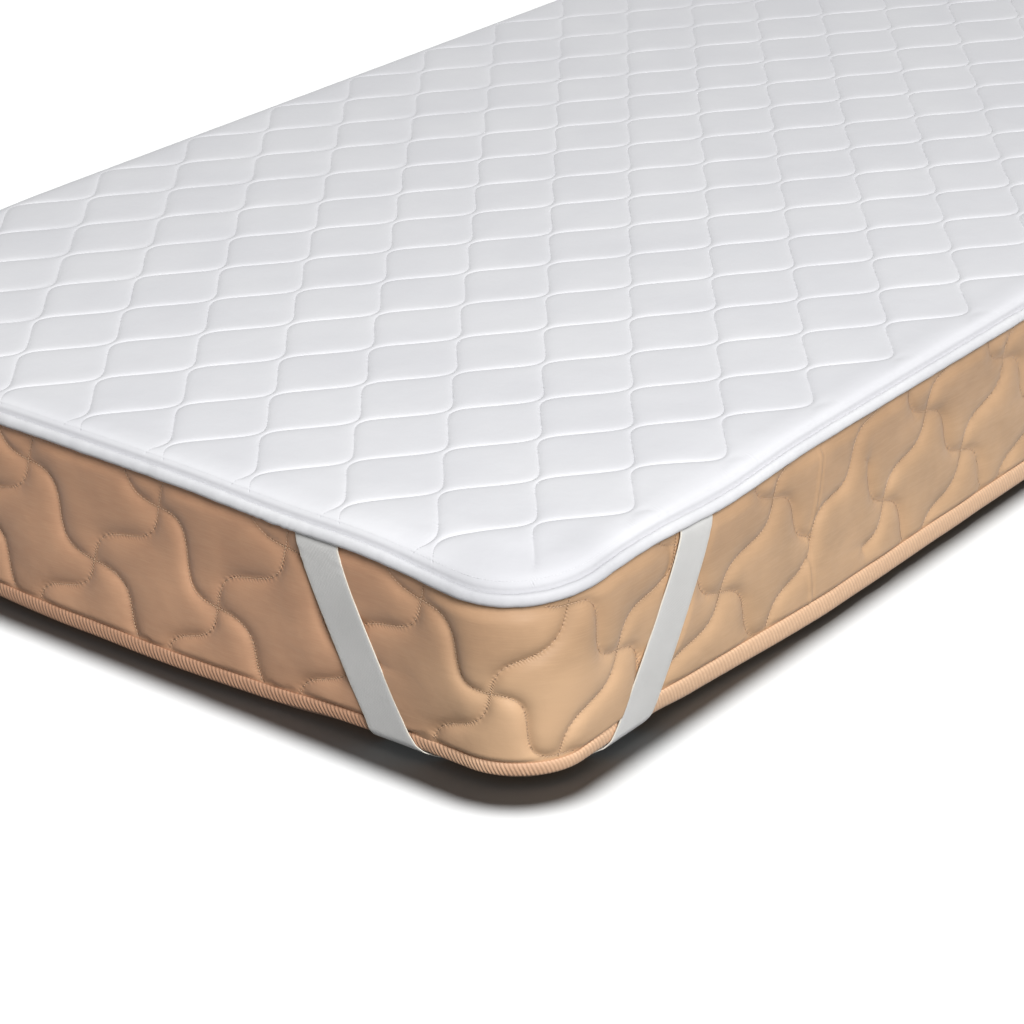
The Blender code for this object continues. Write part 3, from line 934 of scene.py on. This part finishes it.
mattress = {
    "border": (0.0195, 0.0258, 0.1720),     # the quilted side: its foot on the short and long sides, its top
    "borderRows": 58,
    "near": 0.620,
    "nearStep": 0.0021,
    "farStep": 0.0056,
    "seamOut": -0.0012,
    "puff": 0.0040,
    "puffReach": 0.0056,
    "puffLong": 0.28,               # more of it along the long sides
    "dome": 0.0008,
    "domeReach": 0.0150,
    "blunt": 0.0015,
    "tapeRoot": 0.0003,
    "rootDip": (0.0011, 0.004),     # how deep the side is drawn in beside the lower tape, and how far
    "softness": (0.00045, 5.0, 0.060),
    "strapLevel": 0.0017,
    "strapHold": 0.94,
    # the join up the side: a ridge and the trough beside it, each by height, offset and reach
    "joinForms": ((0.0015, -0.0016, 0.0022), (-0.0012, 0.0016, 0.0018)),
    # the small fold near the foot: height, run and its reach, level and its reach
    "fold": (0.0016, -0.100, 0.016, 0.0235, 0.0035),
    # painted light: the cloth is paler by the near corner, up to a height
    "paintedCornerLight": (0.025, 0.100),  # where the cloth is lighter by the near corner, and up to what height
    "lightHeights": (0.085, 0.135),
    "joinAt": ((0.160, 0.365), (0.0955, 0.3553), (0.0255, 0.360)),
    "tallFrom": (0.040, 0.150),     # from a corner along a long side, where the lower tape rises
    "holdFoot": (-0.0015, 0.006),   # the quilting flattens towards the tapes, below and above
    "holdTop": (-0.012, 0.001),
    "footTurn": ((-0.0020, 0.0040), (-0.006, 0.0008), (-0.014, 0.0)),
    "cell": (0.0667, 0.0690),       # half a repeat along, and one row of crossings up
    # how far the rising and the falling needle lines swing to each side, by run
    "bends": (((-0.10, 0.0093), (0.10, 0.0093)), ((0.02, 0.0122), (0.20, 0.0092))),
    # where the crossings lie, from left to right: pattern column, run, height of that row
    "lowCrossings": ((-3, -0.4455, 0.0770), (-2, -0.3140, 0.0735), (-1, -0.172, 0.0800), (0, -0.035, 0.0835),
                     (1, 0.0886, 0.1008), (2, 0.2305, 0.0860), (3, 0.3600, 0.0930), (4, 0.4735, 0.0755)),
    "highCrossings": ((-2.5, -0.3580, 0.1450), (-1.5, -0.2233, 0.1600), (-0.5, -0.0903, 0.1533),
                      (0.5, 0.0300, 0.1700), (1.5, 0.1580, 0.1640), (2.5, 0.3035, 0.1465),
                      (3.5, 0.4200, 0.1375), (4.5, 0.5400, 0.1385)),
    "restColumns": 35,
    "restHeights": (0.0830, 0.1520),
    "rowBelow": 0.0690,             # from the low crossings down to the next ones
    # where a needle line is missing beside the join: family, run from and to, height from and to
    "missing": ((1, -0.165, -0.092, -0.010, 0.072), (1, 0.364, 0.434, -0.010, 0.102),
                (0, 0.368, 0.434, -0.010, 0.048), (1, 0.376, 0.434, 0.120, 0.185)),
    # where the side's foot is caught up a little: run, reach, lift
    "caughtUp": ((-0.384, 0.004, 0.0016), (-0.362, 0.004, 0.0018), (-0.253, 0.004, 0.0016),
                 (-0.234, 0.005, 0.0018), (-0.100, 0.011, 0.0042)),
}


def smoothTable(places, values, at, blur):
    # reads a table with its corners rounded off
    total = 0
    for shift, weight in ((-1, 0.25), (-0.5, 0.25), (0, 0.0), (0.5, 0.25), (1, 0.25)):
        total = total + weight * np.interp(at + shift * blur, places, values)
    return total


def crossingTables():
    both = sorted(mattress["lowCrossings"] + mattress["highCrossings"])
    columns, runs, _ = (list(part) for part in zip(*both))
    # beyond the named ones the pattern is even, and closes round the mattress
    rest = mattress["restColumns"]
    step = (runs[0] + bed["around"] - runs[-1]) / rest
    more = np.arange(1, rest + 1)
    columns = np.concatenate([columns[0] - more[::-1], columns, columns[-1] + more])
    runs = np.concatenate([runs[0] - more[::-1] * step, runs, runs[-1] + more * step])
    low, high = (levelled(mattress[name], rest) for name, rest in
                 zip(("lowCrossings", "highCrossings"), mattress["restHeights"]))
    return columns, runs, low, high


def levelled(crossings, rest):
    columns, _, heights = zip(*crossings)
    return np.array([columns[0] - 2, *columns, columns[-1] + 2]), np.array([rest, *heights, rest])


tableColumns, tableRuns, tableLow, tableHigh = crossingTables()


def rowSlopes(column):
    # rows climb at one rate above the low crossings and at another below them, joined by a soft bend
    low = smoothTable(*tableLow, column, 0.4)
    high = smoothTable(*tableHigh, column, 0.4)
    above, below = 1 / (high - low), 1 / mattress["rowBelow"]
    return low, (above + below) / 2, (above - below) / 2, 0.012


def toPattern(run, z):
    column = smoothTable(tableRuns, tableColumns, nearSigned(run), 0.030)
    low, mean, bend, soft = rowSlopes(column)
    up = z - low
    return column * 2 * mattress["cell"][0], (mean * up + bend * (np.hypot(up, soft) - soft)) * mattress["cell"][1]


def fromPattern(px, pz):
    column = px / (2 * mattress["cell"][0])
    low, mean, bend, soft = rowSlopes(column)
    row = pz / mattress["cell"][1] + bend * soft
    product = mean ** 2 - bend ** 2
    up = (mean * row - bend * np.sqrt(row ** 2 + product * soft ** 2)) / product
    return smoothTable(tableColumns, tableRuns, column, 0.22), low + up


def familyFrame(family):
    # direction of a needle line, square to it, and the step to the next line of the same family
    a, b = mattress["cell"]
    size = math.hypot(a, b)
    along = np.array([a, b if family == 0 else -b]) / size
    square = np.array([-along[1], along[0]])
    step = np.array([a, -b if family == 0 else b])
    return along, square, step, size


def swingOf(px, family):
    places, values = zip(*mattress["bends"][family])
    column = px / (2 * mattress["cell"][0])
    return np.interp(np.interp(column, tableColumns, tableRuns), places, values)


def missing(run, z, family):
    # 1 where a family's needle line isn't sewn
    s = nearSigned(run)
    gone = 0.0
    for which, left, right, low, high in mattress["missing"]:
        if which == family:
            gone = gone + ramp(s, left - 0.005, left + 0.005) * (1 - ramp(s, right - 0.012, right + 0.012)) \
                * ramp(z, low - 0.005, low + 0.005) * (1 - ramp(z, high - 0.007, high + 0.007))
    return np.clip(gone, 0, 1)


def needleGap(run, z, family):
    # signed distance to the nearest needle line of a family, and the distance along it
    px, pz = toPattern(run, z)
    along, square, step, size = familyFrame(family)
    swing = swingOf(px, family)
    apart = step @ square
    across = px * square[0] + pz * square[1]
    lineAt = across / apart
    best, bestAlong = np.inf, 0.0
    for line in (np.floor(lineAt), np.ceil(lineAt)):
        travel = px * along[0] + pz * along[1] - line * (step @ along)
        phase = 2 * math.pi * travel / size
        bend = swing * np.sin(phase)    # the line's own sway
        steep = 2 * math.pi * swing / size * np.cos(phase)
        gap = (across - line * apart - bend) / np.sqrt(1 + steep ** 2)
        walked = travel + 5.0 * swing ** 2 / size * np.sin(2 * phase)
        closer = np.abs(gap) < np.abs(best)
        best, bestAlong = np.where(closer, gap, best), np.where(closer, walked, bestAlong)
    return best + 0.03 * missing(run, z, family) * np.where(best < 0, -1, 1), bestAlong


def joinRun(z):
    heights, runs = zip(*sorted(mattress["joinAt"]))
    return np.interp(z, heights, runs)


def longTape(run):
    # 1 where the lower tape is rolled under, and 0 where it stands tall, along the long sides
    _, _, nx, _, far = wallPlan(run)
    return np.where(np.abs(nx) > 0.999, 1 - ramp(far, *mattress["tallFrom"]), 1.0)


def borderFoot(run):
    short, long, _ = mattress["border"]
    lifts = sum(lift * hump(nearSigned(run), middle, reach) for middle, reach, lift in mattress["caughtUp"])
    return long + (short - long) * longTape(run) + lifts


def strapPress(run, z):
    # how far the straps hold the side flat: 1 under one, 0 clear of it
    _, _, nx, ny, far = wallPlan(run)
    long = np.abs(nx) > np.abs(ny)
    top, foot = (np.where(long, elastic[name][1], elastic[name][0]) for name in ("top", "foot"))
    middle = bed["arcHalf"] - bed["cornerRadius"] + foot + (top - foot) * (z - 0.012) / 0.165
    return 1 - ramp(np.abs(far - middle), elastic["width"] / 2 + 0.0005, elastic["width"] / 2 + 0.0100)


def borderOut(run, z):
    gapA, gapB = needleGap(run, z, 0)[0], needleGap(run, z, 1)[0]
    puff = 0
    for height, reach in ((mattress["puff"], mattress["puffReach"]), (mattress["dome"], mattress["domeReach"])):
        puff = puff + height * softStep(gapA, reach, mattress["blunt"]) * softStep(gapB, reach, mattress["blunt"])
    low, high = borderFoot(run), mattress["border"][2]
    hold = ramp(z - low, *mattress["holdFoot"]) * (1 - ramp(z - high, *mattress["holdTop"]))
    more = mattress["puffLong"]
    out = mattress["seamOut"] + puff * (1 + more - more * shortSide(run))
    s = nearSigned(run)
    for height, offset, reach in mattress["joinForms"]:
        out = out + height * hump(s - joinRun(z), offset, reach)
    size, seed, wave = mattress["softness"]
    out = out + size * waver(run + 0.35 * z, seed, wave) * hold
    out = out + (mattress["strapLevel"] - out) * mattress["strapHold"] * strapPress(run, z)
    deep, reach = mattress["rootDip"]
    root = mattress["tapeRoot"] - deep * hump(z, low, reach)
    height, middle, reach, level, levelReach = mattress["fold"]
    return root + (out - root) * hold + height * hump(s, middle, reach) * hump(z, level, levelReach)


def addBorder():
    skin = Skin()
    run = spacedRuns(mattress["near"], mattress["nearStep"], mattress["farStep"])
    high = mattress["border"][2]
    share = np.linspace(0, 1, mattress["borderRows"])[:, None]
    heights = high + (borderFoot(run)[None, :] - high) * share
    runs = np.broadcast_to(run, heights.shape)
    # painted light by the near corner, fading upwards
    corner = hump(nearSigned(runs), *mattress["paintedCornerLight"])
    # painted light and shade on the side: redder, darker short sides, darker cloth under the topper's edge, paler
    # cloth by the near corner
    extras = {"shortSide": shortSide(runs), "level": heights,
              "paintedCornerLight": corner * (1 - ramp(heights, *mattress["lightHeights"]))}
    for family, name in enumerate("AB"):
        gap, along = needleGap(runs, heights, family)
        extras["offset" + name], extras["nearby" + name], extras["along" + name] = gap, np.abs(gap), along
    far = {"nearbyA": 1.0, "nearbyB": 1.0, "shortSide": shortSide(run)}
    border = skin.add(place(runs, borderOut(runs, heights), heights), **extras)
    skin.sheet(border, wrapColumns=True)
    tops = [skin.add(place(run, out, rolledTop(out)), **far) for out in (-0.060, -0.036, -0.018, -0.006, 0.0)]
    foot = [skin.add(place(run, out, height), **far) for out, height in ((0.0003, 0.0060),) + mattress["footTurn"]]
    for upper, lower in list(zip(tops, tops[1:] + [border[0]])) + list(zip([border[-1]] + foot, foot)):
        skin.band(upper, lower, wrap=True)
    skin.lid(tops[0])
    grid = [(x, y) for x in np.arange(-0.40, 0.41, 0.04) for y in np.arange(-0.95, 0.96, 0.05)
            if edgePlace(np.array(x), np.array(y))[0] > 0.025]
    skin.fill(foot[-1], grid, lambda x, y: settle(x, y, 0 * x))
    return skin.make("mattressBody", ticking, weld=1e-5)


borderThread = {"pitch": 0.0031, "length": 0.0023, "width": 0.00085, "height": 0.00060, "lift": 0.0005}


def addBorderStitches():
    middles, alongs, outwards = [], [], []
    high = mattress["border"][2]
    for family in (0, 1):
        along, square, _, size = familyFrame(family)
        travel = np.arange(-1.6 * size, 3.1 * size, 0.0002)
        phase = 2 * math.pi * travel / size
        for start in np.arange(-22, 22):
            # lines start at the crossings of the lower row
            px = along[0] * travel + start * 2 * mattress["cell"][0]
            bend = swingOf(px, family) * np.sin(phase)
            px, pz = px + square[0] * bend, along[1] * travel + square[1] * bend
            s, z = fromPattern(px, pz)
            keep = (z > borderFoot(s) + 0.002) & (z < high - 0.001)
            if not keep.any():
                continue
            s, z = s[keep], z[keep]
            walked = np.concatenate([[0], np.cumsum(np.hypot(np.diff(s), np.diff(z)))])
            spots = np.arange(0.0012, walked[-1], borderThread["pitch"])
            sewn = missing(np.interp(spots, walked, s), np.interp(spots, walked, z), family) < 0.5
            spots = spots[sewn]
            s0, z0 = np.interp(spots, walked, s), np.interp(spots, walked, z)
            s1, z1 = np.interp(spots + 0.0005, walked, s), np.interp(spots + 0.0005, walked, z)
            middle = place(s0, borderOut(s0, z0) + borderThread["lift"], z0)
            alongs.append(place(s1, borderOut(s1, z1) + borderThread["lift"], z1) - middle)
            _, _, nx, ny, _ = wallPlan(s0)
            outwards.append(np.stack([nx, ny, 0 * nx], -1))
            middles.append(middle)
    middles, alongs, outwards = (np.concatenate(v) for v in (middles, alongs, outwards))
    solid = np.linalg.norm(alongs, axis=-1) > 1e-6
    return addThreads("borderStitches", middles[solid], alongs[solid], outwards[solid],
                      borderThread["length"], borderThread["width"], borderThread["height"], tanThread)


edgeTape = {
    # out and height above its middle, from the top edge to the bottom one
    "lowerSection": ((0.0001, 0.0069), (0.0010, 0.0064), (0.0019, 0.0051), (0.0025, 0.0030), (0.0027, 0.0006),
                     (0.0027, -0.0018), (0.0025, -0.0038), (0.0019, -0.0053), (0.0010, -0.0063),
                     (0.0000, -0.0067)),
    "upperSection": ((0.0002, 0.0045), (0.0010, 0.0038), (0.0014, 0.0022), (0.0015, 0.0), (0.0014, -0.0022),
                     (0.0010, -0.0038), (0.0002, -0.0045)),
    "lower": 0.0122,
    "lowerTall": 1.47,          # along the long sides the lower tape stands this much taller
    "upper": 0.1766,            # behind the topper's edge, and it shows only where it reaches lower
    "squash": 0.34,             # how low it is elsewhere
    "dip": 0.0066,              # how far it comes down where it shows, and how much taller it gets
    "dipTall": 0.70,
    "dips": ((-0.385, -0.450), (0.800, 1.050)),
    "rib": 0.00035,
    "near": 0.620,
    "ribsEnd": (0.600, 0.615),
    "tallShift": 0.0066,
    "lift": (0.00025, 0.110),
    # painted shade on the lower tape at the near corner
    "shadedBrowner": (0.60, -0.012, 0.055),       # at the near corner: how much, run, reach
    "upperStep": 0.0015,
    "nearStep": 0.00075,
    "farStep": 0.0040,
    "flat": (0.017, 5.67),
    "upperFlat": (0.0100, 5.67),
}


def tapeDip(run):
    s = nearSigned(run)
    (leftFrom, leftTo), (rightFrom, rightTo) = edgeTape["dips"]
    shown = ramp(-s, -leftFrom, -leftTo) + ramp(s, rightFrom, rightTo)
    return edgeTape["dip"] * shown * (0.80 + 0.20 * waver(run, 4.0, 0.350))


def addEdgeTape(name, section, middle, dips, nearStep, tall=1.0):
    # the upper one dips where it shows, and the lower one stands taller along the long sides
    skin = Skin()
    run = spacedRuns(edgeTape["near"], nearStep, edgeTape["farStep"])
    near = 1 - ramp(np.abs(nearSigned(run)), *edgeTape["ribsEnd"])
    lift = edgeTape["lift"][0] * waver(run, 2.0 + middle * 10, edgeTape["lift"][1])
    if dips:
        drop = tapeDip(run)
        grown, shift = edgeTape["squash"] + edgeTape["dipTall"] * drop / edgeTape["dip"], -drop / 2
    else:
        grown = 1 + (tall - 1) * (1 - longTape(run))
        shift = edgeTape["tallShift"] * (grown - 1)
    section = np.array(section)
    rows, downs = [], []
    for flat, up in section:
        up = up * grown + shift
        ribs = np.sin((run + up * ribLook["lean"]) * 2 * math.pi / ribLook["pitch"])
        out = flat + near * edgeTape["rib"] * (ribs * 0.5 - 0.5) * flat / section[:, 0].max()
        rows.append(place(run, out, middle + up + lift))
        downs.append(-up)
    inner = [place(run, -0.0006, middle + 0.8 * up * grown + shift) for up in section[[-1, 0], 1]]
    # painted shade: darker on the short sides and at the near corner
    share, corner, reach = edgeTape["shadedBrowner"]
    shadedBrowner = np.maximum(shortSide(run), share * hump(nearSigned(run), corner, reach))
    index = skin.add(np.array(rows + inner), alongEdge=run[None, :], shortSide=shadedBrowner[None, :],
                     downEdge=np.array(downs + [downs[-1], downs[0]]))
    skin.sheet(index, wrapColumns=True, wrapRows=True)
    return skin.make(name, ribbedTape)


mattressBody = addBorder()
print("mattress body:", len(mattressBody.data.polygons), "faces")
borderStitches = addBorderStitches()
print("border stitches:", len(borderStitches.data.polygons), "faces")
lowerTape = addEdgeTape("lowerTape", edgeTape["lowerSection"], edgeTape["lower"], False, edgeTape["nearStep"],
                        edgeTape["lowerTall"])
upperTape = addEdgeTape("upperTape", edgeTape["upperSection"], edgeTape["upper"], True, edgeTape["upperStep"])
print("tapes:", len(lowerTape.data.polygons), len(upperTape.data.polygons), "faces")


# The elastics

def offsetPath(path, distance):
    path = np.array(path)
    way = np.zeros_like(path)
    way[1:-1] = path[2:] - path[:-2]
    way[0], way[-1] = path[1] - path[0], path[-1] - path[-2]
    way /= np.hypot(way[:, 0], way[:, 1])[:, None]
    return path + np.stack([-way[:, 1], way[:, 0]], -1) * distance


def elasticLeg(side, distance):
    # rows from the top down: out, height, distance from the corner and half width, closely spaced
    plain = np.array(elastic["path"])
    rows = offsetPath(elastic["path"], distance)
    foot = elastic["footRow"]
    dropAll = plain[0, 1] - plain[foot, 1]
    slope = (elastic["top"][side] - elastic["foot"][side]) / dropAll
    half = elastic["width"] / 2 * math.hypot(1, slope)
    turn = np.maximum(0, np.arange(len(plain)) - foot) / (len(plain) - 1 - foot)
    above = np.maximum(0, plain[:, 1] - plain[foot, 1])
    middle = elastic["foot"][side] + (elastic["under"][side] - elastic["foot"][side]) * turn + slope * above
    wide = elastic["footSpread"][side] + (1 - elastic["footSpread"][side]) * above / dropAll
    wide = half * (wide + (elastic["underSpread"][side] - wide) * turn)
    walked = np.concatenate([[0], np.cumsum(np.linalg.norm(np.diff(np.column_stack([plain, middle]), axis=0),
                                                           axis=1))])
    count = round(walked[-1] / elastic["step"])
    at = np.linspace(0, walked[-1], count)
    table = [np.interp(at, walked, column) for column in (rows[:, 0], rows[:, 1], middle, wide)]
    return at, table


def legPoints(side, distance, sx, sy):
    at, (out, z, middle, wide) = elasticLeg(side, distance)
    shares = np.array(elastic["across"])
    spots = middle[:, None] + wide[:, None] * shares
    far = bed["arcHalf"] + spots - bed["cornerRadius"]
    rounded = 1 - np.maximum(0, np.abs(shares) - elastic["edgeFrom"]) / 0.07 * elastic["edgeThin"]
    lean = elastic["clearance"] + elastic["thickness"] / 2
    shrink = (distance - lean) * (rounded - 1)
    wrinkle = 0.00022 * hump(at, 0.020, 0.014)[:, None] * np.sin(at[:, None] * 620 + 5 * shares) \
        * (1 if side == 0 else 0.4)
    ease = 0.00018 * np.sin(at * 55 + side)[:, None] * np.sin(math.pi * np.clip(at / 0.17, 0, 1))[:, None]
    run = far if side == 1 else -far
    points = place(run, out[:, None] + shrink + wrinkle + ease, z[:, None] + 0 * run)
    return points * np.array([sx, sy, 1.0])


def addElastic(name, sx, sy):
    skin = Skin()
    shares = np.array(elastic["across"])
    faces = []
    for distance in (elastic["clearance"], elastic["clearance"] + elastic["thickness"]):
        first, second = (legPoints(side, distance, sx, sy) for side in (0, 1))
        steps = round(elastic["underWidth"] / elastic["underStep"])
        share = np.arange(1, steps)[:, None, None] / steps
        under = first[-1] * (1 - share) + second[-1] * share
        x, y = under[..., 0], under[..., 1]
        under[..., 2] = settle(x, y, -distance + 0 * x)
        rows = np.concatenate([first, under, second[::-1]])
        travelled = np.concatenate([[0], np.cumsum(np.linalg.norm(np.diff(rows[:, 5], axis=0), axis=1))])
        faces.append(skin.add(rows, alongStrap=travelled[:, None],
                              acrossStrap=shares[None, :] * elastic["width"] / 2))
    inner, outer = faces
    skin.sheet(inner)
    skin.sheet(outer)
    for side in (0, -1):
        skin.band(inner[:, side], outer[:, side])
        skin.band(inner[side], outer[side])
    return skin.make(name, wovenElastic), float(travelled[-1])


elastics = {}
for corner, (sx, sy) in {"frontRight": (1, 1), "frontLeft": (-1, 1), "backRight": (1, -1),
                         "backLeft": (-1, -1)}.items():
    elastics[corner], elasticLength = addElastic(corner + "Elastic", sx, sy)
print("elastics:", len(elastics["frontRight"].data.polygons), "faces each, length", round(elasticLength, 4))


# What stands for what

for piece in (quiltedPanel, edgeBinding, bindingStitches, mattressBody, borderStitches, lowerTape, upperTape):
    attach(piece, "root")
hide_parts("topper_panel")
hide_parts("topper_binding")
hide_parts("mattress")
nodeOf = {"frontRight": "elastic_front_right", "frontLeft": "elastic_front_left",
          "backRight": "elastic_back_right", "backLeft": "elastic_back_left"}
for corner, piece in elastics.items():
    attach(piece, "root")
    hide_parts(nodeOf[corner])


# Floor and light

def addFloor():
    material, tree, sockets = startMaterial("paleFloor", (0.30, 0.30, 0.30), 0.9, 0.0)
    grain = objectNoise(tree, (3, 3, 3))
    tree.links.new(blendColours(tree, grain, (0.295, 0.298, 0.298), (0.299, 0.302, 0.302)),
                   sockets["Base Color"])
    skin = Skin()
    spots = np.linspace(-9, 9, 7)
    x, y = np.meshgrid(spots, spots)
    skin.sheet(skin.add(np.stack([x, y, 0 * x - 0.0005], -1)))
    floor = skin.make("floor", material)
    for face in floor.data.polygons:
        if face.normal.z < 0:
            floor.data.flip_normals()
            break
    return floor


floor = addFloor()
floor.visible_diffuse = False    # a white floor this near would light the sides from below
objectPieces = bpy.data.collections.new("objectPieces")
floorPieces = bpy.data.collections.new("floorPieces")
for thing in bpy.context.scene.objects:
    if thing.type == "MESH":
        (floorPieces if thing is floor else objectPieces).objects.link(thing)
for name in ("key", "fill", "back"):
    addSoftbox(name, objectPieces)
addSoftbox("floor", floorPieces)
world = bpy.data.worlds.new("studio")
bpy.context.scene.world = world
world.use_nodes = True
world.node_tree.nodes["Background"].inputs["Color"].default_value = (0.96, 0.98, 1.0, 1)
world.node_tree.nodes["Background"].inputs["Strength"].default_value = light["world"]
bpy.context.scene.view_settings.view_transform = "Standard"
print("floor and lights set")
